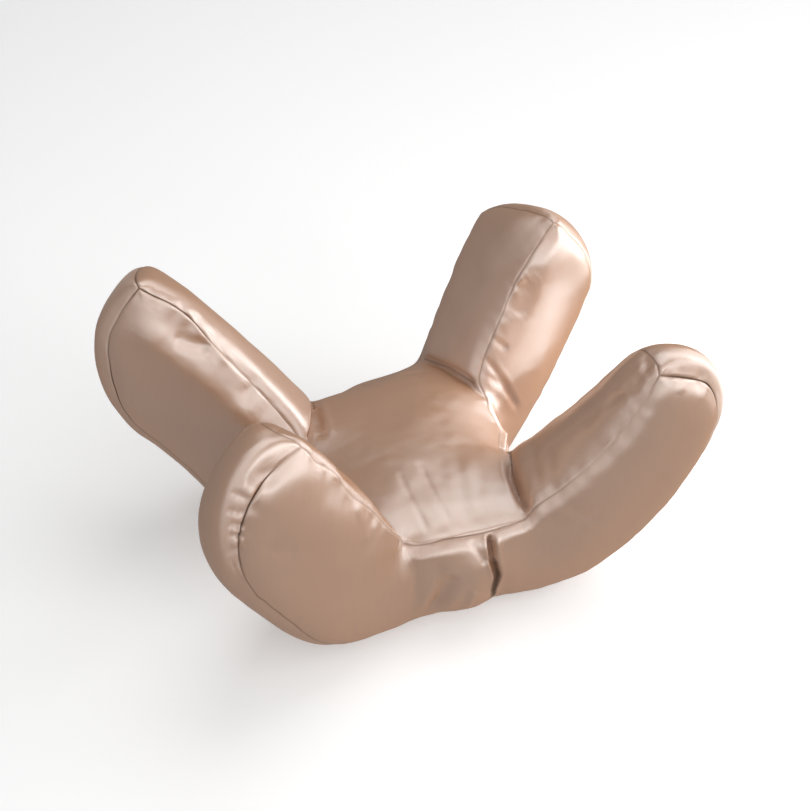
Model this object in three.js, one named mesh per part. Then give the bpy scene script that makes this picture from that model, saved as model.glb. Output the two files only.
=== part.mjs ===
// Anti-wrinkle pillow: one stuffed satin body, four upturned arms round a low pad.
// The cover is cut as one top panel, four boxing strips and a bottom panel that wraps up over each arm's tip.
// Millimetres, +Z up. It lies on its flattened underside, its long way along X, its front towards -Y.
import * as THREE from "three";

// Sizes of the cover between its seams, and how far the stuffing rounds it out
const PAD_THICKNESS = 84;
const ARM_THICKNESS = 106;
const PAD_CROWN = 16;
const PANEL_PUFF = 9;
const BOXING_PUFF = 11;
const PAD_BOXING_PUFF = 25;

// A seam: how far it is drawn in, the strip of cloth that slopes into it, and its height over the floor
const SEAM_DIP = 2.6;
const SEAM_STRIP = 5;
const SEAM_LIFT = 10;

// How an arm leaves the pad, turns up with a crease on its inside, and is rounded at its tip
const BEND_RADIUS = 62;
const CREASE_DEPTH = 6;
const CORNER_DRAW = 9;
const WIDTH_EASE = 1.3;
const CROTCH_FILLET = 15;
const OUTER_FILLET = 4;
const FILLET_REACH = 60;
const CROTCH_SAG = 2;
const CROTCH_TURN = 3;
const PAD_SWAY = 0.35;

// One row for each arm, in mm and degrees. x and y give its quarter. Its centre line leaves the pad at rootX,
// rootY on a heading away from the X axis, bends up to one pitch and eases to another at the tip, twisting
// on its way. Bulges are what its half length adds on the inner and outer side. Slant is how far the inner
// corner of the tip falls short of the outer one, and toe the share of its thickness that its foot does.
const ARMS = [
  {
    x: 1, y: -1, rootX: 63, rootY: 75, lift: 5, heading: 14, length: 233, bend: 37, tip: 80, twist: 13,
    width: 76, tipWidth: 38, bulgeIn: 6, bulgeOut: 0, tipThick: 70, tipPuff: 11, slant: 4, toe: 0.66,
  },
  {
    x: -1, y: -1, rootX: 64, rootY: 65, lift: 1, heading: 18, length: 225, bend: 60, tip: 58, twist: -2,
    width: 86, tipWidth: 50, bulgeIn: -2, bulgeOut: -2, tipThick: 104, tipPuff: 34, slant: 8, toe: 0.82,
  },
  {
    x: 1, y: 1, rootX: 69, rootY: 82, lift: -3, heading: 25, length: 209, bend: 55, tip: 61, twist: 26,
    width: 79, tipWidth: 104, bulgeIn: -1, bulgeOut: -1, tipThick: 79, tipPuff: 13, slant: -23, toe: 0.6,
  },
  {
    x: -1, y: 1, rootX: 66, rootY: 71, lift: -10, heading: 24, length: 242, bend: 55, tip: 39, twist: 15,
    width: 67, tipWidth: 64, bulgeIn: -7, bulgeOut: -10, tipThick: 120, tipPuff: 14, slant: -12, toe: 0.78,
  },
];

// Main folds of the boxing, a row for each soft trough, in mm along the strip and above its mid line.
// On the front and back of the pad, along is measured from the middle, and on an arm from its root.
const FOLDS = [
  { strip: "front", along: 33, high: -2, toAlong: 37, toHigh: -44, depth: 8, width: 7 },
  { strip: "front", along: 12, high: 20, toAlong: 18, toHigh: -36, depth: 4, width: 7 },
  { strip: "front", along: -12, high: 24, toAlong: -4, toHigh: -30, depth: 4, width: 8 },
  { strip: "front", along: -34, high: 10, toAlong: -28, toHigh: -38, depth: 3, width: 9 },
  { strip: "back", along: 24, high: 14, toAlong: 18, toHigh: -34, depth: 4, width: 8 },
  { strip: "back", along: -26, high: 16, toAlong: -22, toHigh: -34, depth: 4, width: 8 },
  { strip: "inner", x: 1, y: 1, along: 30, high: 36, toAlong: 75, toHigh: -14, depth: 4, width: 7 },
  { strip: "inner", x: 1, y: 1, along: 16, high: 22, toAlong: 52, toHigh: -26, depth: 4, width: 7 },
  { strip: "inner", x: -1, y: 1, along: 26, high: 38, toAlong: 34, toHigh: -22, depth: 4, width: 7 },
  { strip: "inner", x: -1, y: 1, along: 46, high: 40, toAlong: 52, toHigh: -16, depth: 3, width: 7 },
];

// Cells of the surface net: along an arm, across it, up the boxing, between the arm roots, across a crotch
const ALONG = 18;
const ACROSS = 8;
const HIGH = 8;
const MIDDLE = 14;
const GAP = 6;

// Section of a stuffed panel: how flat its middle is and how steeply it meets the seam
const PUFF_FLAT = 2.5;
const PUFF_EDGE = 0.6;
const END_FLAT = 12;

const { degToRad, lerp, clamp } = THREE.MathUtils;
const ease = (t) => t * t * (3 - 2 * t);
const puff = (share) => (1 - Math.abs(share) ** PUFF_FLAT) ** PUFF_EDGE;
const endPuff = (share) => (1 - share ** END_FLAT) ** PUFF_EDGE;

// Shares from -1 to 1 with a narrow cell beside each end, where the cloth slopes into its seam
function shares(cells, edge) {
  const inner = (n) => (1 - edge) * ((2 * (n - 1)) / (cells - 2) - 1);
  return Array.from({ length: cells + 1 }, (_, n) => (n === 0 ? -1 : n === cells ? 1 : inner(n)));
}
const acrossShares = shares(ACROSS, (2 * SEAM_STRIP) / ARMS[0].width);
const highShares = shares(HIGH, (2 * SEAM_STRIP) / ARM_THICKNESS);

// Share of an arm's length at a column, with the last cell as narrow as a seam strip
function alongShare(arm, column) {
  return column === ALONG ? 1 : ((1 - SEAM_STRIP / arm.length) * column) / (ALONG - 1);
}

// Run and rise of a circular arc that turns from one pitch to another over a length
function chord(from, to, length) {
  const half = (to - from) / 2;
  const span = half === 0 ? length : (length * Math.sin(half)) / half;
  return [span * Math.cos(from + half), span * Math.sin(from + half)];
}

// Centre, axes and half sizes of an arm's section at a distance along its centre line
function section(arm, distance) {
  const heading = degToRad(arm.heading);
  const forward = new THREE.Vector3(arm.x * Math.cos(heading), arm.y * Math.sin(heading), 0);
  const outward = new THREE.Vector3(-arm.x * Math.sin(heading), arm.y * Math.cos(heading), 0);
  const sky = new THREE.Vector3(0, 0, 1);

  const bend = degToRad(arm.bend);
  const bendLength = bend * BEND_RADIUS;
  const turned = Math.min(distance / bendLength, 1);
  const after = Math.max(distance - bendLength, 0);
  const share = after / (arm.length - bendLength);
  const pitch = bend * turned + (degToRad(arm.tip) - bend) * share;
  const [run, rise] = chord(0, bend * turned, Math.min(distance, bendLength));
  const [farRun, farRise] = chord(bend, pitch, after);

  const centre = new THREE.Vector3(arm.x * arm.rootX, arm.y * arm.rootY, SEAM_LIFT + PAD_THICKNESS / 2)
    .addScaledVector(forward, run + farRun)
    .addScaledVector(sky, rise + farRise + arm.lift * ease(turned));
  const tangent = forward.clone().multiplyScalar(Math.cos(pitch)).addScaledVector(sky, Math.sin(pitch));
  const over = forward.clone().multiplyScalar(-Math.sin(pitch)).addScaledVector(sky, Math.cos(pitch));
  const twist = degToRad(arm.twist) * (distance / arm.length);
  const side = outward.clone().multiplyScalar(Math.cos(twist)).addScaledVector(over, -Math.sin(twist));
  const up = over.clone().multiplyScalar(Math.cos(twist)).addScaledVector(outward, Math.sin(twist));

  const middle = 4 * share * (1 - share);
  const halfWidth = lerp(arm.width, arm.tipWidth, share ** WIDTH_EASE) / 2;
  const fillet = Math.max(1 - distance / FILLET_REACH, 0) ** 2;
  const thickness = lerp(PAD_THICKNESS, ARM_THICKNESS, ease(turned));
  return {
    centre, tangent, side, up,
    halfIn: halfWidth + arm.bulgeIn * middle + CROTCH_FILLET * fillet,
    halfOut: halfWidth + arm.bulgeOut * middle + OUTER_FILLET * fillet,
    halfThick: lerp(thickness, arm.tipThick, share * share) / 2,
    crease: 4 * turned * (1 - turned),
  };
}

const halfMiddle = MIDDLE / 2;
const halfGap = GAP / 2;
const lastColumn = halfMiddle + ALONG;
const lastRow = halfGap + ACROSS;
const armAt = (x, y) => ARMS.find((arm) => arm.x === x && arm.y === y);

// What is known about a net point: its arm, its place on it, and the faces and seams it lies on
function place(i, j, k) {
  const column = Math.abs(i) - halfMiddle;
  const row = Math.abs(j) - halfGap;
  const arm = armAt(Math.sign(i) || 1, Math.sign(j) || 1);
  const inArm = column >= 0 && row >= 0;
  const across = acrossShares[Math.max(row, 0)];
  const high = highShares[k];

  const onTop = k === HIGH;
  const onBottom = k === 0;
  const onTip = column === ALONG;
  const onOuter = row === ACROSS;
  const onInner = (inArm && row === 0) || (column === 0 && row <= 0);
  const onSide = onOuter || onInner;
  const onSeam = (onTop && (onSide || onTip)) || (onBottom && onSide) || (onTip && onSide);

  const drop = (1 - high) / 2;
  const toe = arm.toe * arm.tipThick * (1 - Math.sqrt(1 - drop * drop));
  const corner = CORNER_DRAW * across ** 4 + (arm.slant * (1 - across)) / 2;
  const along = inArm ? alongShare(arm, column) : 0;
  const cut = section(arm, along * (arm.length - toe - corner));
  return {
    i, j, k, column, row, arm, inArm, across, high, drop, along, cut,
    onTop, onBottom, onTip, onOuter, onInner, onSeam,
  };
}

// A point of an arm before it is stuffed
function armPoint({ cut, across, high }) {
  return cut.centre.clone()
    .addScaledVector(cut.side, across * (across < 0 ? cut.halfIn : cut.halfOut))
    .addScaledVector(cut.up, high * cut.halfThick);
}

// A point of the pad's left or right edge: the root of an arm, or the crotch between two roots
function edgePoint(x, j, k) {
  if (Math.abs(j) >= halfGap) return armPoint(place(x * halfMiddle, j, k));
  const front = armPoint(place(x * halfMiddle, -halfGap, k));
  const back = armPoint(place(x * halfMiddle, halfGap, k));
  const t = (j + halfGap) / GAP;
  const point = front.lerp(back, t);
  point.x -= x * CROTCH_SAG * 4 * t * (1 - t);
  return point;
}

// A point of the pad before it is stuffed, on a curve that leans towards each arm's heading
function padPoint({ i, j, k, row }) {
  const left = edgePoint(-1, j, k);
  const right = edgePoint(1, j, k);
  const t = (i + halfMiddle) / MIDDLE;
  const point = left.clone().lerp(right, t);
  if (row < 0) return point;
  const slope = (x) => PAD_SWAY * Math.sign(j) * x * Math.tan(degToRad(armAt(x, Math.sign(j)).heading));
  point.y += (right.x - left.x) * (slope(-1) * t * (1 - t) ** 2 - slope(1) * t * t * (1 - t));
  return point;
}

// How far the stuffing lifts the top or bottom of the pad at a net point
function padPuff({ i, j, row, across }) {
  const crown = PAD_CROWN * puff(j / lastRow);
  const edge = row >= 0 ? PANEL_PUFF * puff(across) : 0;
  return lerp(crown, edge, Math.min(Math.abs(i) / halfMiddle, 1) ** 3);
}

// How far the stuffing swells the boxing at a net point
function boxingPuff({ i, onOuter, high, along }) {
  const middle = Math.max(1 - Math.abs(i) / halfMiddle, 0);
  const swell = onOuter ? lerp(BOXING_PUFF, PAD_BOXING_PUFF, ease(middle)) : BOXING_PUFF;
  return swell * puff(high) * endPuff(along);
}

// Depth of the boxing's folds at a net point
function foldDepth({ i, arm, inArm, onOuter, high, along, cut }) {
  const onPad = onOuter && !inArm;
  const padStrip = arm.y < 0 ? "front" : "back";
  const strip = onPad ? padStrip : onOuter ? "outer" : "inner";
  const distance = onPad ? (i / halfMiddle) * arm.rootX : along * arm.length;
  const here = new THREE.Vector2(distance, high * cut.halfThick);
  let depth = 0;
  for (const fold of FOLDS) {
    if (fold.strip !== strip) continue;
    if (!onPad && (fold.x !== arm.x || fold.y !== arm.y)) continue;
    const start = new THREE.Vector2(fold.along, fold.high);
    const line = new THREE.Vector2(fold.toAlong, fold.toHigh).sub(start);
    const t = clamp(here.clone().sub(start).dot(line) / line.lengthSq(), 0, 1);
    const away = here.distanceTo(start.addScaledVector(line, t)) / fold.width;
    depth += fold.depth * Math.exp(-away * away);
  }
  return depth;
}

// The shift of a net point by the stuffing, or into its seam
function stuffing(p) {
  const { cut, column, inArm, high, along, across, drop } = p;
  const up = inArm ? cut.up : new THREE.Vector3(0, 0, 1);
  const outer = inArm ? cut.side : new THREE.Vector3(0, p.arm.y, 0);
  const inner = new THREE.Vector3(p.arm.x, 0, 0);
  if (inArm) inner.lerp(cut.side.clone().negate(), Math.min((column + 1) / CROTCH_TURN, 1)).normalize();
  const shift = new THREE.Vector3();
  if (p.onSeam) {
    if (p.onTop) shift.addScaledVector(up, -SEAM_DIP);
    if (p.onBottom) shift.addScaledVector(up, SEAM_DIP);
    if (p.onOuter) shift.addScaledVector(outer, -SEAM_DIP);
    if (p.onInner) shift.addScaledVector(inner, -SEAM_DIP);
    if (p.onTip) shift.addScaledVector(cut.tangent, -SEAM_DIP / 2);
    return shift;
  }
  if (p.onTip) {
    const seamEdge = (1 - (1 - drop) ** PUFF_FLAT) ** PUFF_EDGE;
    const swell = lerp(p.arm.tipPuff, PANEL_PUFF, drop * drop) * puff(across) * seamEdge;
    shift.addScaledVector(cut.tangent, swell * Math.sqrt(1 - drop * drop));
    return shift.addScaledVector(up, -swell * drop);
  }
  if (p.onTop) {
    const swell = inArm ? PANEL_PUFF * puff(across) * endPuff(along) : padPuff(p);
    const crease = inArm ? CREASE_DEPTH * cut.crease * puff(across) : 0;
    return shift.addScaledVector(up, swell - crease);
  }
  if (p.onBottom) return shift.addScaledVector(up, inArm ? -PANEL_PUFF * puff(across) : -padPuff(p));
  return shift.addScaledVector(p.onOuter ? outer : inner, boxingPuff(p) - foldDepth(p));
}

// A finished net point, flattened where it would sink into the floor
function netPoint(i, j, k) {
  const p = place(i, j, k);
  let point;
  if (p.column > 0) point = armPoint(p);
  else if (p.column === 0) point = edgePoint(Math.sign(i), j, k);
  else point = padPoint(p);
  point.add(stuffing(p));
  point.z = Math.max(point.z, 0);
  return point;
}

// The cover as one closed net: each outer face of the H-shaped block of cells becomes two triangles
function coverGeometry() {
  const isCell = (i, j) => {
    const [a, b] = [Math.abs(i + 0.5), Math.abs(j + 0.5)];
    return a < lastColumn && b < lastRow && (a < halfMiddle || b > halfGap);
  };
  const known = new Map();
  const positions = [];
  const triangles = [];
  const vertex = (i, j, k) => {
    const key = `${i},${j},${k}`;
    if (!known.has(key)) {
      known.set(key, known.size);
      positions.push(...netPoint(i, j, k).toArray());
    }
    return known.get(key);
  };
  const quad = (...corners) => {
    const [a, b, c, d] = corners.map((corner) => vertex(...corner));
    triangles.push(a, b, c, a, c, d);
  };
  for (let i = -lastColumn; i < lastColumn; i++) {
    for (let j = -lastRow; j < lastRow; j++) {
      if (!isCell(i, j)) continue;
      const [r, b] = [i + 1, j + 1];
      quad([i, j, HIGH], [r, j, HIGH], [r, b, HIGH], [i, b, HIGH]);
      quad([i, j, 0], [i, b, 0], [r, b, 0], [r, j, 0]);
      for (let k = 0; k < HIGH; k++) {
        const t = k + 1;
        if (!isCell(i, j - 1)) quad([i, j, k], [r, j, k], [r, j, t], [i, j, t]);
        if (!isCell(i, j + 1)) quad([r, b, k], [i, b, k], [i, b, t], [r, b, t]);
        if (!isCell(i - 1, j)) quad([i, b, k], [i, j, k], [i, j, t], [i, b, t]);
        if (!isCell(i + 1, j)) quad([r, j, k], [r, b, k], [r, b, t], [r, j, t]);
      }
    }
  }
  const geometry = new THREE.BufferGeometry();
  geometry.setAttribute("position", new THREE.Float32BufferAttribute(positions, 3));
  geometry.setIndex(triangles);
  geometry.computeVertexNormals();
  return geometry;
}

const satin = new THREE.MeshStandardMaterial({ color: 0xc7a088, roughness: 0.42, metalness: 0 });
const pillow = new THREE.Mesh(coverGeometry(), satin);
pillow.name = "pillow";

const part = new THREE.Group();
part.add(pillow);
export default part;
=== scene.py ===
# %% [markdown]
# # A stuffed satin pillow with four upturned arms
# The CAD model gives one filled solid in its real size and place. This lesson
# turns a copy of it into cloth: panels, seams, stuffing, creases and satin.

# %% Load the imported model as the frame
import heapq
import math
import bmesh
import bpy
import numpy as np
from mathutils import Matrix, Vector, noise
from mathutils.bvhtree import BVHTree
from mathutils.kdtree import KDTree


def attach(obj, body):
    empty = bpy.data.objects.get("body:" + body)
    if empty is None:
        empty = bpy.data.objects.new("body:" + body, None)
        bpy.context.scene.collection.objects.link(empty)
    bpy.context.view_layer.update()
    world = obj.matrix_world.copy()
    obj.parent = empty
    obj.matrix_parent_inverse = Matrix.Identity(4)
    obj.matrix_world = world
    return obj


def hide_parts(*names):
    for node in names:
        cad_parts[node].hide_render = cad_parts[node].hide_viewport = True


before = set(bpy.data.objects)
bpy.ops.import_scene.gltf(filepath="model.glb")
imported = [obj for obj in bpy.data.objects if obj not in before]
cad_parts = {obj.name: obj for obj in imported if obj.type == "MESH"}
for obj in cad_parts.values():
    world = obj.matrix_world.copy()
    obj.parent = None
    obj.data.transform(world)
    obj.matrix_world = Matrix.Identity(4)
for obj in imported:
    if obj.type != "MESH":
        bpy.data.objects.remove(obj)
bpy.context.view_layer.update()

# %% [markdown]
# ## The camera
# The picture was taken from the front left, looking down at about forty
# degrees with a long lens. The camera comes first, because the creases below
# are placed by looking through it.

# %% Place the camera at the picture's viewing angle
PICTURE = 811
AIM = Vector((0.0058, 0.0299, 0.1255))
AZIMUTH, ELEVATION = math.radians(-22.27), math.radians(39.78)
DISTANCE = 1.2918
LENS = 65.45
level = math.cos(ELEVATION)
backward = Vector((math.sin(AZIMUTH) * level, -math.cos(AZIMUTH) * level, math.sin(ELEVATION)))
eye = AIM + backward * DISTANCE
turn = backward.to_track_quat("Z", "Y")

bpy.ops.object.select_all(action="DESELECT")
bpy.ops.object.camera_add(location=eye, rotation=turn.to_euler())
camera = bpy.context.object
camera.data.lens = LENS
bpy.context.scene.camera = camera
print("camera at", [round(c, 3) for c in eye])


# %% Helper: the line of sight through a point of the picture
def sight(px, py):
    reach = LENS / camera.data.sensor_width * PICTURE
    half = PICTURE / 2
    return (turn @ Vector(((px - half) / reach, (half - py) / reach, -1))).normalized()


# %% [markdown]
# ## The cover's net
# The CAD node is loose triangles. A copy of its mesh is merged into one skin,
# and pairs of triangles are joined back into the four-sided cells of the net,
# because cells that follow the panels bend and subdivide more evenly.

# %% Copy the CAD skin into a piece of its own
bpy.ops.object.select_all(action="DESELECT")
pillow = bpy.data.objects.new("satin_pillow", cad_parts["pillow"].data.copy())
bpy.context.scene.collection.objects.link(pillow)
pillow.data.materials.clear()
pillow.select_set(True)
bpy.context.view_layer.objects.active = pillow
bpy.ops.object.mode_set(mode="EDIT")
bpy.ops.mesh.select_all(action="SELECT")
bpy.ops.mesh.remove_doubles(threshold=1e-6)
bpy.ops.mesh.tris_convert_to_quads(
    face_threshold=math.pi, shape_threshold=math.pi, topology_influence=2.0)
bpy.ops.object.mode_set(mode="OBJECT")
sides = [len(p.vertices) for p in pillow.data.polygons]
print("net:", len(pillow.data.vertices), "points,", sides.count(4), "cells,",
      sides.count(3), "triangles")

# %% [markdown]
# ## Seams
# The cover is six cut pieces: a top panel, four boxing strips and a bottom
# panel that wraps up over each tip. Every strip lies between two seams that
# run from one tip's corner to the next. Each seam is found as the cheapest
# way along the net's edges between its ends, where an edge in a groove costs
# least.

# %% Name the corners of the tips and the middles of the seams
CORNERS = {
    "front_right": ((0.159, -0.124, 0.226), (0.159, -0.087, 0.225)),
    "front_left": ((-0.141, -0.113, 0.239), (-0.153, -0.067, 0.231)),
    "back_right": ((0.145, 0.184, 0.200), (0.162, 0.093, 0.239)),
    "back_left": ((-0.174, 0.164, 0.232), (-0.196, 0.114, 0.252)),
}
OUTER, INNER = 0, 1
STRIPS = {
    "front": ("front_left", "front_right", OUTER, (0.002, -0.108)),
    "back": ("back_left", "back_right", OUTER, (0.000, 0.106)),
    "left": ("front_left", "back_left", INNER, (-0.079, 0.008)),
    "right": ("front_right", "back_right", INNER, (0.079, 0.005)),
}
SEAM_HEIGHTS = {"top": 0.0914, "low": 0.0126}


# %% Helper: the cheapest chain of edges between two points of a mesh
def groove_chain(mesh, cost, start, end):
    best = {start: (0.0, None)}
    queue = [(0.0, start.index, start)]
    while queue:
        spent, _, vertex = heapq.heappop(queue)
        if vertex is end:
            break
        if spent > best[vertex][0]:
            continue
        for edge in vertex.link_edges:
            other = edge.other_vert(vertex)
            total = spent + cost[edge]
            if other not in best or total < best[other][0]:
                best[other] = (total, edge)
                heapq.heappush(queue, (total, other.index, other))
    chain = []
    while end is not start:
        edge = best[end][1]
        chain.append(edge)
        end = edge.other_vert(end)
    return chain


# %% Mark the seams along the grooves
net = bmesh.new()
net.from_mesh(pillow.data)
crease = net.edges.layers.float.new("crease_edge")
GROOVE_ANGLE = math.radians(25)
RIDGE_COST, USED_COST = 6, 30
cost = {}
for edge in net.edges:
    in_groove = edge.calc_face_angle_signed(0) < -GROOVE_ANGLE
    cost[edge] = edge.calc_length() * (1 if in_groove else RIDGE_COST)
seam_edges = set()


def nearest(place):
    return min(net.verts, key=lambda vertex: (vertex.co - Vector(place)).length)


def sew(start, end):
    chain = groove_chain(net, cost, start, end)
    seam_edges.update(chain)
    for vertex in {v for edge in chain for v in edge.verts} - {start, end}:
        for edge in vertex.link_edges:
            cost[edge] *= USED_COST


for start, end, side, middle in STRIPS.values():
    for height in SEAM_HEIGHTS.values():
        stops = [CORNERS[start][side], (*middle, height), CORNERS[end][side]]
        points = [nearest(stop) for stop in stops]
        sew(points[0], points[1])
        sew(points[1], points[2])
for outer, inner in CORNERS.values():
    sew(nearest(outer), nearest(inner))
for edge in seam_edges:
    edge.seam = True
    edge[crease] = 1.0
net.to_mesh(pillow.data)
net.free()
print("seams:", len(seam_edges), "edges")

# %% [markdown]
# ## Cut pieces
# Unwrapping along the seams lays the six pieces flat, as they were cut. On
# satin the gloss follows the threads, so each flat piece is turned until its
# threads run up the map: front to back on the top and bottom panels, and
# upright on the strips.

# %% Lay the pieces flat
bpy.ops.object.mode_set(mode="EDIT")
bpy.ops.mesh.select_all(action="SELECT")
bpy.ops.uv.unwrap(method="ANGLE_BASED", margin=0.01)
bpy.ops.object.mode_set(mode="OBJECT")

# %% Number the pieces, by walking over every edge that is no seam
skin = pillow.data
faces_of = {}
for polygon in skin.polygons:
    for key in polygon.edge_keys:
        faces_of.setdefault(key, []).append(polygon.index)
sewn = {edge.key for edge in skin.edges if edge.use_seam}
piece_of = [None] * len(skin.polygons)
pieces = 0
for first in range(len(skin.polygons)):
    if piece_of[first] is not None:
        continue
    piece_of[first], waiting = pieces, [first]
    while waiting:
        for key in skin.polygons[waiting.pop()].edge_keys:
            for other in faces_of[key] if key not in sewn else ():
                if piece_of[other] is None:
                    piece_of[other] = pieces
                    waiting.append(other)
    pieces += 1
print("cut pieces:", pieces)

# %% Turn every piece on the map
CROSSWISE = {
    "top": ((-0.03, 0.0, 0.11), (0.03, 0.0, 0.11)),
    "bottom": ((-0.04, 0.0, 0.0), (0.04, 0.0, 0.0)),
    "front": ((-0.03, -0.12, 0.05), (0.03, -0.12, 0.05)),
    "back": ((-0.03, 0.12, 0.05), (0.03, 0.12, 0.05)),
    "left": ((-0.09, -0.02, 0.05), (-0.09, 0.04, 0.05)),
    "right": ((0.09, -0.03, 0.05), (0.09, 0.03, 0.05)),
}
flat = np.empty(len(skin.loops) * 2)
skin.uv_layers.active.data.foreach_get("uv", flat)
flat = flat.reshape(-1, 2)
piece_of = np.array(piece_of)
loop_piece = np.concatenate([[piece_of[p.index]] * p.loop_total for p in skin.polygons])
for name, places in CROSSWISE.items():
    ends = [min(skin.polygons, key=lambda p: (p.center - Vector(place)).length) for place in places]
    spots = [flat[list(p.loop_indices)].mean(0) for p in ends]
    angle = -math.atan2(*(spots[1] - spots[0])[::-1])
    here = loop_piece == piece_of[ends[0].index]
    spin = np.array([[math.cos(angle), -math.sin(angle)], [math.sin(angle), math.cos(angle)]])
    flat[here] = flat[here] @ spin.T
    print(name, "piece turned by", round(math.degrees(angle)), "degrees")
skin.uv_layers.active.data.foreach_set("uv", flat.ravel())

# %% Pack the pieces on the map and measure its scale
bpy.ops.object.mode_set(mode="EDIT")
bpy.ops.mesh.select_all(action="SELECT")
bpy.ops.uv.select_all(action="SELECT")
bpy.ops.uv.average_islands_scale()
bpy.ops.uv.pack_islands(rotate=False, margin=0.01)
bpy.ops.object.mode_set(mode="OBJECT")
skin = pillow.data
flat = np.empty(len(skin.loops) * 2)
skin.uv_layers.active.data.foreach_get("uv", flat)
flat = flat.reshape(-1, 2)
after = np.concatenate([np.roll(list(p.loop_indices), -1) for p in skin.polygons])
flat_area = 0.5 * abs(np.sum(flat[:, 0] * flat[after, 1] - flat[after, 0] * flat[:, 1]))
FLAT_METRES = math.sqrt(sum(p.area for p in skin.polygons) / flat_area)
print("flat map: one unit is", round(FLAT_METRES, 3), "m of cloth")

# %% Refine the net until a cell is about three millimetres wide
finer = pillow.modifiers.new("finer_net", "SUBSURF")
finer.levels = finer.render_levels = 2
bpy.ops.object.modifier_apply(modifier=finer.name)
print("fine net:", len(pillow.data.vertices), "points")

# %% [markdown]
# ## Where the seams lie
# A sewn cover never sits quite evenly on its stuffing. Before it is blown up,
# its seams are slid over the surface to where the picture shows them. Every
# row slides a patch of cloth from one point of the picture to another, and
# the reach says how far around it the cloth follows, in metres.

# %% Helper: read and write all points of the cover at once
def read_points():
    points = np.empty(len(pillow.data.vertices) * 3)
    pillow.data.vertices.foreach_get("co", points)
    return points.reshape(-1, 3)


def write_points(points):
    pillow.data.vertices.foreach_set("co", np.ascontiguousarray(points).ravel())
    pillow.data.update()


def read_normals():
    normals = np.empty(len(pillow.data.vertices) * 3)
    pillow.data.vertices.foreach_get("normal", normals)
    return normals.reshape(-1, 3)


def seam_points():
    ends = np.array([edge.vertices for edge in pillow.data.edges if edge.use_seam])
    return np.unique(ends)


# %% Helper: the place on the cloth that a point of the picture shows
def cloth_tree():
    mesh = pillow.data
    return BVHTree.FromPolygons([v.co for v in mesh.vertices], [p.vertices for p in mesh.polygons])


def look(tree, points_of_picture):
    found = []
    for px, py in points_of_picture:
        place, normal, _, _ = tree.ray_cast(eye, sight(px, py))
        if place is not None:
            found.append((np.array(place), np.array(normal)))
    return found


# %% Slide the seams
SLIDES = [
    ((292, 452), (304, 447), 0.018), ((276, 479), (266, 474), 0.016), ((261, 504), (250, 505), 0.018),
    ((252, 533), (240, 531), 0.018), ((249, 558), (239, 558), 0.018), ((252, 574), (243, 576), 0.016),
    ((326, 481), (333, 474), 0.020), ((366, 515), (371, 511), 0.020),
    ((541, 222), (555, 221), 0.022), ((525, 255), (531, 258), 0.022), ((501, 306), (504, 307), 0.022),
    ((492, 430), (501, 429), 0.020), ((398, 553), (397, 542), 0.018), ((441, 543), (441, 540), 0.018),
    ((522, 525), (523, 520), 0.018), ((706, 389), (709, 384), 0.016), ((179, 319), (184, 313), 0.022),
    ((118, 330), (108, 335), 0.022),
]
points = read_points()
tree = cloth_tree()
total, weight = np.zeros_like(points), np.zeros(len(points))
for begin, end, reach in SLIDES:
    ends = look(tree, [begin, end])
    if len(ends) < 2:
        print("not on the cloth:", begin, end)
        continue
    away = np.linalg.norm(points - ends[0][0], axis=1) / reach
    pull = np.exp(-away * away)
    total += pull[:, None] * (ends[1][0] - ends[0][0])
    weight += pull
moved = total / np.maximum(weight, 1)[:, None]
points += moved
points[:, 2] = np.maximum(points[:, 2], 0)
write_points(points)
print("seams slid by up to", round(float(np.linalg.norm(moved, axis=1).max()) * 1000, 1), "mm")

# %% [markdown]
# ## Stuffing
# Cloth simulation with pressure swells the panels between their seams. The
# cloth is cut a little larger than its seams, so it puckers beside them as a
# stuffed cover does. The seams and the flat underside are held. How much
# larger is the ease: a little all over, and more where the real cover is
# gathered or slack.

# %% Helper: a value over the cloth that changes near some points of the picture
def spread(points, base, places):
    value = np.full(len(points), base)
    spots = look(cloth_tree(), [spot for spot, _, _ in places])
    for (place, _), (_, reach, more) in zip(spots, places):
        away = np.linalg.norm(points - place, axis=1) / reach
        value += more * np.exp(-away * away)
    return value


# %% Ease the cloth and hold the seams
BASE_EASE = 0.002
MOST_EASE = 0.06
SLACK_PLACES = [
    ((236, 495), 0.020, 0.025), ((228, 530), 0.020, 0.03), ((233, 570), 0.018, 0.02),
    ((622, 375), 0.020, 0.015), ((505, 375), 0.020, 0.008), ((275, 425), 0.020, 0.012),
]
RESTING_HEIGHT = 0.0008
start_points = read_points()
ease = spread(start_points, BASE_EASE, SLACK_PLACES)
tight = 1 - np.clip(ease / MOST_EASE, 0, 1)
held = np.zeros(len(start_points), bool)
held[seam_points()] = True
tight[held] = 1
held |= start_points[:, 2] < RESTING_HEIGHT
tight_group = pillow.vertex_groups.new(name="tight")
for level in range(101):
    at_level = np.flatnonzero(np.rint(tight * 100) == level)
    tight_group.add(at_level.tolist(), level / 100, "REPLACE")
hold_group = pillow.vertex_groups.new(name="hold")
hold_group.add(np.flatnonzero(held).tolist(), 1.0, "REPLACE")
print("held points:", int(held.sum()))
print("ease from", round(float(ease.min()), 3), "to", round(float(ease.max()), 3))

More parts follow.
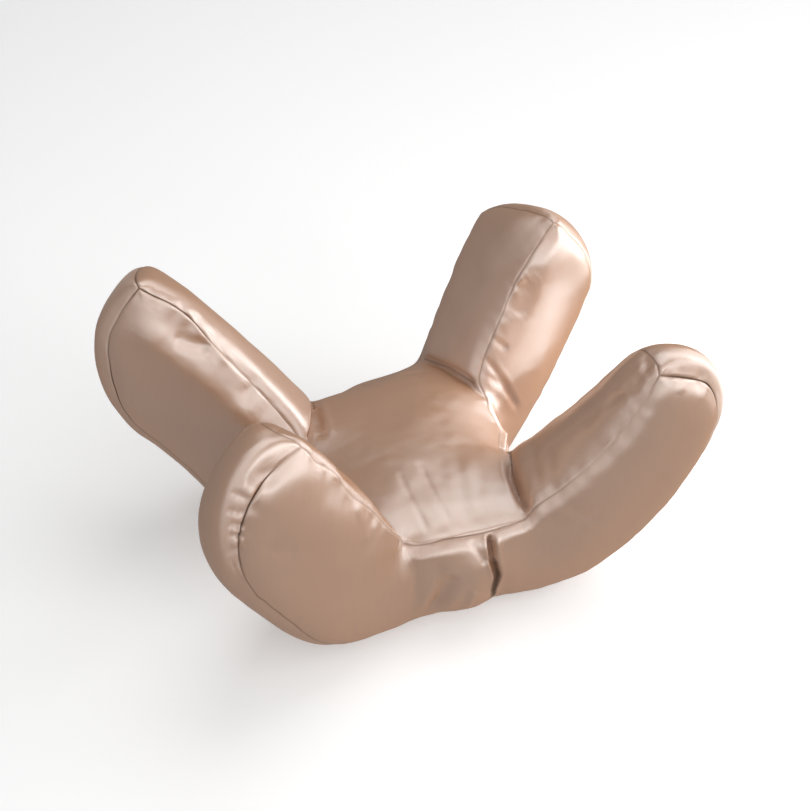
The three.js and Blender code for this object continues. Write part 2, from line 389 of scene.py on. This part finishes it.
# %% Blow up the cover
FARTHEST = 0.010
STEPS = 20
stuffing = pillow.modifiers.new("stuffing", "CLOTH")
cloth = stuffing.settings
cloth.quality = 6
cloth.mass = 0.2
cloth.tension_stiffness = cloth.compression_stiffness = 20
cloth.shear_stiffness = 6
cloth.bending_stiffness = 0.2
cloth.air_damping = 2
cloth.use_pressure = True
cloth.uniform_pressure_force = 4
cloth.vertex_group_mass = hold_group.name
cloth.vertex_group_shrink = tight_group.name
cloth.shrink_min = -MOST_EASE
cloth.shrink_max = 0.0
cloth.effector_weights.gravity = 0
stuffing.collision_settings.use_collision = False
for step in range(1, STEPS + 1):
    bpy.context.scene.frame_set(step)
bpy.ops.object.modifier_apply(modifier=stuffing.name)
bpy.context.scene.frame_set(1)
move = read_points() - start_points
far = np.linalg.norm(move, axis=1)
move *= (FARTHEST * np.tanh(far / FARTHEST) / np.maximum(far, 1e-9))[:, None]
stuffed = start_points + move
stuffed[:, 2] = np.maximum(stuffed[:, 2], 0)
write_points(stuffed)
print("stuffing moved the cloth by up to", round(float(far.max()) * 1000, 1), "mm, mean",
      round(float(far.mean()) * 1000, 1))

# %% [markdown]
# ## Taut seams
# Stuffing pulls the cloth tight over a seam, so that two panels meet in a
# rounded edge and not in a valley. The cloth beside every seam is smoothed
# until the grooves of the solid are filled, and the rest about half as much.
# The seam itself comes back below, as a fine line. Nothing changes where the
# cloth rests on the floor.

# %% Helper: how far every point is from a seam
def seam_tree(points):
    tree = KDTree(len(seam_points()))
    for key, index in enumerate(seam_points()):
        tree.insert(points[index], key)
    tree.balance()
    return tree


def seam_distance(points):
    tree = seam_tree(points)
    return np.array([tree.find(point)[2] for point in points])


# %% Draw the cloth taut beside the seams
TAUT_REACH, TAUT_LEAST, TAUT_LEVELS = 0.014, 0.45, 20
FLOOR_FADE = 0.01
points = read_points()
taut = np.maximum(np.exp(-(seam_distance(points) / TAUT_REACH) ** 2), TAUT_LEAST)
taut *= np.clip(points[:, 2] / FLOOR_FADE, 0, 1)
taut_group = pillow.vertex_groups.new(name="taut")
for level in range(1, TAUT_LEVELS + 1):
    at_level = np.flatnonzero(np.rint(taut * TAUT_LEVELS) == level)
    taut_group.add(at_level.tolist(), level / TAUT_LEVELS, "REPLACE")
smoothing = pillow.modifiers.new("taut_seams", "SMOOTH")
smoothing.factor = 0.5
smoothing.iterations = 60
smoothing.vertex_group = taut_group.name
bpy.ops.object.modifier_apply(modifier=smoothing.name)
drawn = np.linalg.norm(read_points() - points, axis=1)
print("seams drawn out by up to", round(float(drawn.max()) * 1000, 1), "mm")

# %% One more subdivision
finer = pillow.modifiers.new("smooth_net", "SUBSURF")
finer.levels = finer.render_levels = 1
bpy.ops.object.modifier_apply(modifier=finer.name)
bpy.ops.object.shade_smooth()
print("finished net:", len(pillow.data.vertices), "points")

# %% [markdown]
# ## Creases
# A stuffed cover creases where an arm bends up, where cloth is gathered into
# a seam and where it is slack. The main creases are listed one by one: each is a
# line over the picture, looked up on the cloth, with its own depth and width.
# A row gives its depth and width in millimetres and the share of its depth
# by which the cloth beside it swells. Its depth changes along its way, and a
# negative depth raises a ridge. A sharp row has a pointed section, for the
# edges where two panels meet.

# %% Helper: points every two pixels or so along a line of the picture
def trace(line, gap=2.0):
    line = np.array(line, float)
    steps = np.linalg.norm(np.diff(line, axis=0), axis=1)
    way = np.concatenate([[0], np.cumsum(steps)])
    marks = np.linspace(0, way[-1], max(4, int(way[-1] / gap)))
    return np.column_stack([np.interp(marks, way, line[:, k]) for k in (0, 1)])


# %% Helper: press creases into the cloth
FADE_SHARE = 0.22


def press(rows, seed, sharp=False):
    points, normals = read_points(), read_normals()
    chance = np.random.default_rng(seed)
    tree = cloth_tree()
    for depth, width, shoulder, line in rows:
        hits = look(tree, trace(line))
        if len(hits) < 3:
            print("not on the cloth:", line)
            continue
        way = np.array([place for place, _ in hits])
        out = np.array([normal for _, normal in hits])
        depth, width = depth / 1000, width / 1000
        low, high = way.min(0) - 4 * width, way.max(0) + 4 * width
        near = np.flatnonzero(np.all((points > low) & (points < high), axis=1))
        squares = ((points[near][:, None, :] - way[None, :, :]) ** 2).sum(2)
        mark = squares.argmin(1)
        away = np.sqrt(squares.min(1)) / width
        part = mark / (len(way) - 1)
        fade = np.clip(np.minimum(part, 1 - part) / FADE_SHARE, 0, 1)
        fade = fade * fade * (3 - 2 * fade)
        uneven = np.interp(part, np.linspace(0, 1, 5), chance.uniform(0.7, 1.3, 5))
        core = np.clip(1 - away / 2.5, 0, 1) ** 2 if sharp else np.exp(-away ** 2)
        trough = core - shoulder * np.exp(-((away - 1.9) / 0.7) ** 2)
        facing = np.clip((normals[near] * out[mark]).sum(1) * 2, 0, 1)
        points[near] -= out[mark] * (depth * trough * fade * uneven * facing)[:, None]
    points[:, 2] = np.maximum(points[:, 2], 0)
    write_points(points)
    print("creases pressed:", len(rows))


# %% Uneven stuffing: the fibre under the cloth is never quite smooth
LUMPS = ((0.0006, 34), (0.0002, 85))
points, normals = read_points(), read_normals()
swell = np.empty(len(points))
for index, point in enumerate(points):
    place = Vector(point)
    swell[index] = sum(height * noise.noise(place * rate) for height, rate in LUMPS)
points += normals * (swell * np.clip(points[:, 2] / FLOOR_FADE, 0, 1))[:, None]
write_points(points)
print("stuffing uneven by up to", round(float(abs(swell).max()) * 1000, 2), "mm")

# %% Edges: where two panels meet at an angle, the cloth is drawn out crisply
PANEL_EDGES = [
    (-2.5, 8.0, 0.0, [(318, 458), (333, 474), (352, 493), (371, 511), (384, 528), (397, 542),
                      (410, 545)]),
    (-4.0, 8.0, 0.0, [(371, 511), (384, 528), (397, 542), (420, 544), (441, 540), (480, 531),
                      (523, 520), (545, 505)]),
    (-3.0, 8.0, 0.0, [(563, 213), (545, 236), (531, 258), (517, 282), (504, 307), (492, 345), (486, 372)]),
    (-2.5, 8.0, 0.0, [(142, 289), (160, 298), (184, 313), (205, 338), (230, 368), (252, 392)]),
]
press(PANEL_EDGES, seed=7, sharp=True)
FRONT_RIDGE = [
    (-3.0, 9.0, 0.0, [(392, 552), (420, 557), (441, 553), (480, 544), (523, 532), (552, 514)]),
]
press(FRONT_RIDGE, seed=8)

# %% Pad: pulls towards the front seam and creases at the arms' roots
PAD_CREASES = [
    (0.5, 3.0, 0.0, [(395, 466), (407, 490), (425, 525), (431, 538)]),
    (0.5, 3.0, 0.0, [(416, 458), (430, 485), (445, 512), (453, 534)]),
    (0.4, 5.0, 0.2, [(457, 452), (462, 490), (466, 528)]),
    (0.3, 5.0, 0.0, [(480, 462), (480, 520)]),
    (2.5, 4.0, 0.1, [(408, 356), (432, 360), (455, 370), (479, 386)]),
    (1.2, 3.5, 0.1, [(398, 375), (427, 371)]),
]
press(PAD_CREASES, seed=1)

# %% Back left arm: its root, the long soft fold of its strip and a dent
BACK_LEFT_CREASES = [
    (4.0, 4.5, 0.2, [(311, 388), (312, 402), (316, 415), (323, 440)]),
    (-5.0, 16.0, 0.0, [(130, 312), (158, 346), (190, 368), (215, 388), (240, 412), (262, 440)]),
    (2.2, 6.5, 0.0, [(172, 336), (190, 343), (212, 348)]),
    (0.8, 6.0, 0.0, [(250, 382), (244, 400), (236, 425)]),
]
press(BACK_LEFT_CREASES, seed=2)

# %% Back right arm: a flat strip with soft dents and long diagonals at its foot
BACK_RIGHT_CREASES = [
    (2.0, 3.0, 0.1, [(484, 356), (493, 368), (505, 384), (520, 412)]),
    (1.8, 3.5, 0.1, [(487, 373), (500, 385), (511, 397), (520, 414)]),
    (1.2, 3.0, 0.1, [(490, 336), (508, 350)]),
    (1.5, 10.0, 0.0, [(556, 226), (548, 245), (540, 262), (532, 285)]),
    (1.2, 9.0, 0.0, [(530, 272), (524, 296), (516, 320)]),
]
press(BACK_RIGHT_CREASES, seed=3)

# %% Front right arm: its root, its gathered tip and the soft folds of its strip
FRONT_RIGHT_CREASES = [
    (4.0, 3.5, 0.1, [(508, 438), (509, 455), (511, 475), (517, 492), (527, 514)]),
    (-1.8, 2.5, 0.0, [(506, 430), (503, 455)]),
    (1.4, 4.5, 0.1, [(648, 350), (646, 368), (634, 386), (615, 398), (598, 410)]),
    (-0.7, 3.5, 0.0, [(636, 366), (648, 384)]),
    (-0.7, 3.5, 0.0, [(618, 384), (630, 402)]),
    (1.2, 6.0, 0.0, [(530, 436), (534, 465), (542, 492)]),
    (0.9, 7.0, 0.0, [(548, 440), (550, 470), (556, 500)]),
    (1.4, 6.0, 0.0, [(566, 506), (580, 514), (602, 522)]),
    (1.0, 5.0, 0.0, [(545, 520), (590, 530)]),
    (-0.7, 4.0, 0.0, [(683, 378), (680, 394)]),
]
press(FRONT_RIGHT_CREASES, seed=4)

# %% Front strip: the deep dart under the pad and the hollows beside it
FRONT_STRIP_CREASES = [
    (13.0, 2.8, 0.1, [(489, 532), (492, 545), (494, 562), (498, 575), (493, 590), (493, 618)]),
    (1.5, 3.5, 0.0, [(469, 540), (479, 553), (488, 566)]),
    (4.5, 6.5, 0.1, [(456, 574), (443, 595), (430, 614)]),
    (-2.5, 4.0, 0.0, [(476, 590), (464, 613)]),
    (1.5, 5.0, 0.0, [(414, 556), (416, 585), (412, 618)]),
    (1.3, 5.0, 0.0, [(436, 560), (441, 580), (444, 600)]),
]
press(FRONT_STRIP_CREASES, seed=5)

# %% Front left arm: pleats gathered into its end seam and along its top seam
FRONT_LEFT_CREASES = [
    (2.4, 2.2, 0.1, [(230, 492), (250, 500)]),
    (-1.6, 1.8, 0.0, [(240, 485), (254, 495)]),
    (2.2, 2.0, 0.1, [(226, 510), (246, 514)]),
    (2.4, 2.0, 0.1, [(228, 524), (244, 527)]),
    (-1.6, 1.8, 0.0, [(231, 531), (245, 531)]),
    (2.4, 2.0, 0.1, [(227, 536), (244, 536)]),
    (-1.6, 1.8, 0.0, [(231, 543), (244, 541)]),
    (2.2, 2.0, 0.1, [(227, 551), (243, 547)]),
    (1.8, 2.0, 0.0, [(231, 566), (243, 562)]),
    (1.4, 2.0, 0.0, [(231, 580), (246, 580)]),
    (-0.8, 5.0, 0.0, [(354, 500), (364, 522), (368, 548)]),
    (-0.8, 5.0, 0.0, [(374, 514), (375, 540), (372, 572)]),
    (0.8, 7.0, 0.0, [(262, 545), (280, 555), (300, 548)]),
]
press(FRONT_LEFT_CREASES, seed=6)

# %% [markdown]
# ## Gathers
# A machine seam draws the cloth in a little, and the cloth beside it stands in
# short pleats that run away from the seam. Each pleat keeps one height, which
# comes from the nearest points of the seam, and it dies out within two
# centimetres. Some places are gathered more than the rest.

# %% Raise the gathers
GATHER_BASE, GATHER_REACH, GATHER_RATE = 0.0008, 0.009, 120
GATHER_END, GATHER_START, GATHER_LOWEST = 0.022, 0.0015, 0.004
GATHER_PLACES = [
    ((241, 530), 0.030, 0.0020), ((256, 484), 0.020, 0.0016), ((190, 322), 0.030, 0.0014),
    ((690, 379), 0.025, 0.0015), ((640, 395), 0.030, 0.0006), ((510, 300), 0.035, 0.0010),
    ((318, 462), 0.020, 0.0010), ((460, 536), 0.030, -0.0003),
]
points, normals = read_points(), read_normals()
gather = spread(points, GATHER_BASE, GATHER_PLACES)
tree = seam_tree(points)
from_seam = seam_distance(points)
pleat = np.zeros(len(points))
for index in np.flatnonzero((from_seam < GATHER_END) & (points[:, 2] > GATHER_LOWEST)):
    spots = [spot for spot, _, _ in tree.find_n(points[index], 4)]
    pleat[index] = sum(noise.noise(spot * GATHER_RATE) for spot in spots) / len(spots)
pleat *= gather * np.exp(-(from_seam / GATHER_REACH) ** 2)
pleat *= 1 - np.exp(-(from_seam / GATHER_START) ** 2)
points += normals * pleat[:, None]
write_points(points)
print("gathers of up to", round(float(abs(pleat).max()) * 1000, 2), "mm")

# %% [markdown]
# ## Seam lines
# Along a seam the two edges of cloth turn inwards, so the seam sinks into a
# narrow groove, darkened with painted shade to a fine dark line. It is never
# quite straight, because each gather pulls it to one side. A seed makes it wander
# alike in every run, as noise vectors otherwise start from the clock. The deepest
# folds get painted shade too: a row gives a fold's breadth, its shade and its line.

# %% Let the seams wander and sink them
SEAM_WAVE, WAVE_REACH, WAVE_END, WAVE_RATE, WAVE_SEED = 0.0004, 0.006, 0.015, 75, 1
SEAM_DEPTH, SEAM_WIDTH, SEAM_BASE = 0.0010, 0.0013, 0.35
SEAM_PLACES = [
    ((152, 291), 0.020, 0.5), ((190, 320), 0.025, 0.5), ((115, 390), 0.030, 0.5),
    ((256, 484), 0.020, 0.5), ((241, 530), 0.030, 0.4), ((680, 375), 0.025, 0.6),
    ((712, 388), 0.020, 0.6), ((600, 445), 0.040, -0.4), ((640, 400), 0.030, -0.4),
    ((340, 490), 0.030, -0.2), ((460, 536), 0.030, 0.2),
]
points, normals = read_points(), read_normals()
from_seam = seam_distance(points)
noise.seed_set(WAVE_SEED)
for index in np.flatnonzero(from_seam < WAVE_END):
    wave = noise.noise_vector(Vector(points[index]) * WAVE_RATE)
    points[index] += np.array(wave) * SEAM_WAVE * math.exp(-(from_seam[index] / WAVE_REACH) ** 2)
# Seam strength sets both the groove's depth and how dark the seam's painted shade is.
strength = np.clip(spread(points, SEAM_BASE, SEAM_PLACES), 0.05, 1)
sink = SEAM_DEPTH * (0.2 + 0.8 * strength) * np.exp(-(from_seam / SEAM_WIDTH) ** 2)
points -= normals * sink[:, None]
points[:, 2] = np.maximum(points[:, 2], 0)
write_points(points)
print("points within 3 mm of a seam:", int((from_seam < 0.003).sum()))

# %% Keep how near a seam or a deep fold every point is, and how dark the painted shade there is
# Painted shade in the deepest folds, where little light reaches: a row gives its breadth, its darkness and
# its line.
SHADED_FOLDS = [
    (2.5, 0.5, [(490, 537), (493, 552), (495, 564)]),
    (4.0, 0.7, [(495, 562), (498, 575), (494, 590), (493, 612)]),
    (1.5, 0.5, [(510, 452), (513, 475), (519, 495)]),
    (1.5, 0.4, [(425, 359), (450, 368), (474, 383)]),
    (1.5, 0.5, [(312, 394), (314, 408)]),
]
FOLD_REACH, FOLD_EDGE = 0.01, 0.0015
line_away = from_seam.copy()
for breadth, fold_shade, line in SHADED_FOLDS:
    way = np.array([place for place, _ in look(cloth_tree(), trace(line))])
    low, high = way.min(0) - FOLD_REACH, way.max(0) + FOLD_REACH
    for index in np.flatnonzero(np.all((points > low) & (points < high), axis=1)):
        away = np.linalg.norm(way - points[index], axis=1).min() / breadth
        if away < line_away[index] and away < FOLD_EDGE:
            line_away[index], strength[index] = away, fold_shade
# These two attributes carry the painted shade of seams and folds to the material.
for name, values in (("seam_dark", strength), ("seam_away", line_away)):
    layer = pillow.data.attributes.new(name, "FLOAT", "POINT")
    layer.data.foreach_set("value", values)
    print("kept on the mesh:", layer.name)

# %% [markdown]
# ## Satin
# Satin is woven so that long threads float on its face. They give it a strong,
# pale gloss over a warm body colour, and the gloss is drawn out across the
# threads, so every cut piece shines from another side. The finish is built
# from small node groups: one for the threads, which run along the flat map of
# every cut piece, and one for the cloth's tone and the painted shade along seams
# and deep folds. Their outputs feed the shader. Where that shade is painted, the
# cloth counts as metal, because that takes its gloss away.

# %% Helpers for node groups
def new_group(name, inputs, outputs):
    group = bpy.data.node_groups.new(name, "ShaderNodeTree")
    for label, kind, value in inputs:
        socket = group.interface.new_socket(label, in_out="INPUT", socket_type=kind)
        if value is not None:
            socket.default_value = value
    for label, kind in outputs:
        group.interface.new_socket(label, in_out="OUTPUT", socket_type=kind)
    return group, group.nodes.new("NodeGroupInput"), group.nodes.new("NodeGroupOutput")


def add(tree, kind, links=(), **values):
    node = tree.nodes.new(kind)
    for name, value in values.items():
        setattr(node, name, value)
    for socket, source in links:
        if hasattr(source, "is_output"):
            tree.links.new(source, node.inputs[socket])
        else:
            node.inputs[socket].default_value = source
    return node


# %% Threads: long floats, seen as fine streaks and a slight unevenness
VECTOR, FLOAT, COLOUR = "NodeSocketVector", "NodeSocketFloat", "NodeSocketColor"
threads, into, out = new_group(
    "satin_threads",
    [("Flat Map", VECTOR, None), ("Thread Width", FLOAT, 0.0004), ("Float Length", FLOAT, 0.012)],
    [("Height", FLOAT), ("Streak", FLOAT)])
across = add(threads, "ShaderNodeMath", [(0, 1.0), (1, into.outputs["Thread Width"])], operation="DIVIDE")
along = add(threads, "ShaderNodeMath", [(0, 1.0), (1, into.outputs["Float Length"])], operation="DIVIDE")
stretch = add(threads, "ShaderNodeCombineXYZ", [(0, across.outputs[0]), (1, along.outputs[0]), (2, 1.0)])
laid = add(threads, "ShaderNodeVectorMath",
           [(0, into.outputs["Flat Map"]), (1, stretch.outputs[0])], operation="MULTIPLY")
grain = add(threads, "ShaderNodeTexNoise", [("Vector", laid.outputs[0]), ("Scale", 1.0), ("Detail", 2.0)])
wide = add(threads, "ShaderNodeVectorMath",
           [(0, laid.outputs[0]), (1, (0.16, 0.4, 1.0))], operation="MULTIPLY")
bands = add(threads, "ShaderNodeTexNoise", [("Vector", wide.outputs[0]), ("Scale", 1.0), ("Detail", 3.0)])
threads.links.new(grain.outputs["Fac"], out.inputs["Height"])
threads.links.new(bands.outputs["Fac"], out.inputs["Streak"])
print("node group:", threads.name)

# %% Tone: slow changes of tone, thread streaks, and painted shade along seams and deep folds
tone, into, out = new_group(
    "cloth_tone",
    [("Place", VECTOR, None), ("Light Shade", COLOUR, (0.447, 0.219, 0.105, 1)),
     ("Deep Shade", COLOUR, (0.412, 0.200, 0.095, 1)), ("Streak", FLOAT, 0.5),
     ("Seam Strength", FLOAT, 0.0), ("Seam Away", FLOAT, 1.0)],
    [("Color", COLOUR), ("Roughness", FLOAT), ("Metallic", FLOAT)])
clouds = add(tone, "ShaderNodeTexNoise",
             [("Vector", into.outputs["Place"]), ("Scale", 14.0), ("Detail", 3.0)])
blend = add(tone, "ShaderNodeMath",
            [(0, clouds.outputs["Fac"]), (1, into.outputs["Streak"])], operation="MULTIPLY")
share = add(tone, "ShaderNodeMapRange", [(0, blend.outputs[0]), (1, 0.12), (2, 0.38)])
body = add(tone, "ShaderNodeMix", [(0, share.outputs[0])], data_type="RGBA")
tone.links.new(into.outputs["Deep Shade"], body.inputs[6])
tone.links.new(into.outputs["Light Shade"], body.inputs[7])
# Painted shade: within about a millimetre of a seam or deep fold the colour darkens, the cloth turns to
# metal so its gloss goes, and it gets rougher.
line = add(tone, "ShaderNodeMapRange",
           [(0, into.outputs["Seam Away"]), (1, 0.0003), (2, 0.0012), (3, 1.0), (4, 0.0)])
seam = add(tone, "ShaderNodeMath",
           [(0, line.outputs[0]), (1, into.outputs["Seam Strength"])], operation="MULTIPLY")
depth = add(tone, "ShaderNodeMapRange", [(0, seam.outputs[0]), (3, 1.0), (4, 0.22)])
dark = add(tone, "ShaderNodeVectorMath",
           [(0, body.outputs[2]), (1, depth.outputs[0])], operation="MULTIPLY")
rough = add(tone, "ShaderNodeMapRange",
            [(0, into.outputs["Streak"]), (1, 0.3), (2, 0.7), (3, 0.40), (4, 0.44)])
duller = add(tone, "ShaderNodeMath",
             [(0, seam.outputs[0]), (1, 0.4), (2, rough.outputs[0])], operation="MULTIPLY_ADD")
tone.links.new(dark.outputs[0], out.inputs["Color"])
tone.links.new(duller.outputs[0], out.inputs["Roughness"])
tone.links.new(seam.outputs[0], out.inputs["Metallic"])
print("node group:", tone.name)

# %% Satin cover material
satin = bpy.data.materials.new("satin_cover")
satin.use_nodes = True
weave = satin.node_tree
shader = weave.nodes["Principled BSDF"]
flat_map = add(weave, "ShaderNodeUVMap", uv_map=skin.uv_layers.active.name)
metres = add(weave, "ShaderNodeVectorMath",
             [(0, flat_map.outputs[0]), (1, (FLAT_METRES,) * 3)], operation="MULTIPLY")
place = add(weave, "ShaderNodeTexCoord")
# The painted shade of seams and folds is read from the mesh.
seam_shade_attribute = add(weave, "ShaderNodeAttribute", attribute_name="seam_dark")
seam_away = add(weave, "ShaderNodeAttribute", attribute_name="seam_away")
thread_node = add(weave, "ShaderNodeGroup", node_tree=threads)
weave.links.new(metres.outputs[0], thread_node.inputs["Flat Map"])
tone_node = add(weave, "ShaderNodeGroup", node_tree=tone)
weave.links.new(place.outputs["Object"], tone_node.inputs["Place"])
weave.links.new(thread_node.outputs["Streak"], tone_node.inputs["Streak"])
weave.links.new(seam_shade_attribute.outputs["Fac"], tone_node.inputs["Seam Strength"])
weave.links.new(seam_away.outputs["Fac"], tone_node.inputs["Seam Away"])
bump = add(weave, "ShaderNodeBump",
           [("Height", thread_node.outputs["Height"]), ("Strength", 0.05), ("Distance", 0.0003)])
# Colour, roughness and metal all carry the painted shade of seams and folds.
weave.links.new(tone_node.outputs["Color"], shader.inputs["Base Color"])
weave.links.new(tone_node.outputs["Roughness"], shader.inputs["Roughness"])
weave.links.new(tone_node.outputs["Metallic"], shader.inputs["Metallic"])
weave.links.new(bump.outputs[0], shader.inputs["Normal"])
grain = add(weave, "ShaderNodeTangent", direction_type="UV_MAP", uv_map=skin.uv_layers.active.name)
weave.links.new(grain.outputs[0], shader.inputs["Tangent"])
shader.inputs["Anisotropic"].default_value = 0.85
shader.inputs["IOR"].default_value = 3.9
pillow.data.materials.append(satin)
print("material:", satin.name, "with", len(weave.nodes), "nodes")

# %% [markdown]
# ## Floor and light
# The pillow lies on a pale light table, which glows a little so that its
# shadow stays soft. The satin does not mirror the table, as the picture's
# lower sides are plain and warm. The gloss in the picture comes mostly from
# the right: a near lamp, a small one in the gap between the right arms and a
# large one farther off shine on the sides that face them. One lamp stands to
# the front right, one hangs above, and a wide one over the camera lights the
# rest with little gloss. A row gives a lamp's bearing and height in degrees,
# its distance, width and depth in metres and its power in watts.

# %% Pale floor
bpy.ops.object.select_all(action="DESELECT")
bpy.ops.mesh.primitive_plane_add(size=6, location=(0, 0, 0))
floor = bpy.context.object
floor.name = "floor"
pale = bpy.data.materials.new("pale_floor")
pale.use_nodes = True
paint = pale.node_tree.nodes["Principled BSDF"].inputs
paint["Base Color"].default_value = (0.85, 0.85, 0.85, 1)
paint["Roughness"].default_value = 0.9
paint["Emission Color"].default_value = (1, 1, 1, 1)
paint["Emission Strength"].default_value = 0.25
floor.data.materials.append(pale)
floor.visible_glossy = False
print("floor:", [round(side, 2) for side in floor.dimensions], "m")

# %% Soft studio lights
LIGHTS = {
    "right": (-4, 12, 0.455, 0.30, 0.40, 0.8),
    "gap": (-10, -4, 0.20, 0.08, 0.10, 0.06),
    "key": (-20, 16, 2.2, 1.60, 1.60, 24),
    "band": (-66, 24, 2.2, 0.80, 0.80, 5),
    "top": (35, 66, 2.2, 1.60, 1.60, 18),
    "front": (-100, 38, 2.4, 3.20, 3.20, 28),
}
for name, (bearing, height, distance, width, depth, power) in LIGHTS.items():
    bearing, height = math.radians(bearing), math.radians(height)
    level = math.cos(height)
    toward = Vector((math.cos(bearing) * level, math.sin(bearing) * level, math.sin(height)))
    aim = toward.to_track_quat("Z", "Y").to_euler()
    bpy.ops.object.light_add(type="AREA", location=AIM + distance * toward, rotation=aim)
    lamp = bpy.context.object
    lamp.name = name
    lamp.visible_camera = False
    lamp.data.shape = "RECTANGLE"
    lamp.data.size, lamp.data.size_y = width, depth
    lamp.data.energy = power
print("lamps:", ", ".join(LIGHTS))

# %% Even white surroundings
world = bpy.data.worlds.new("studio")
world.use_nodes = True
sky = world.node_tree.nodes["Background"].inputs
sky["Color"].default_value = (1, 1, 1, 1)
sky["Strength"].default_value = 0.28
bpy.context.scene.world = world
bpy.context.scene.view_settings.view_transform = "Standard"
print("surroundings at strength", round(sky["Strength"].default_value, 2))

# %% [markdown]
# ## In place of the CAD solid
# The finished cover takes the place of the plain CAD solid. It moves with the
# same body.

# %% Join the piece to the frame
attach(pillow, "root")
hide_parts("pillow")
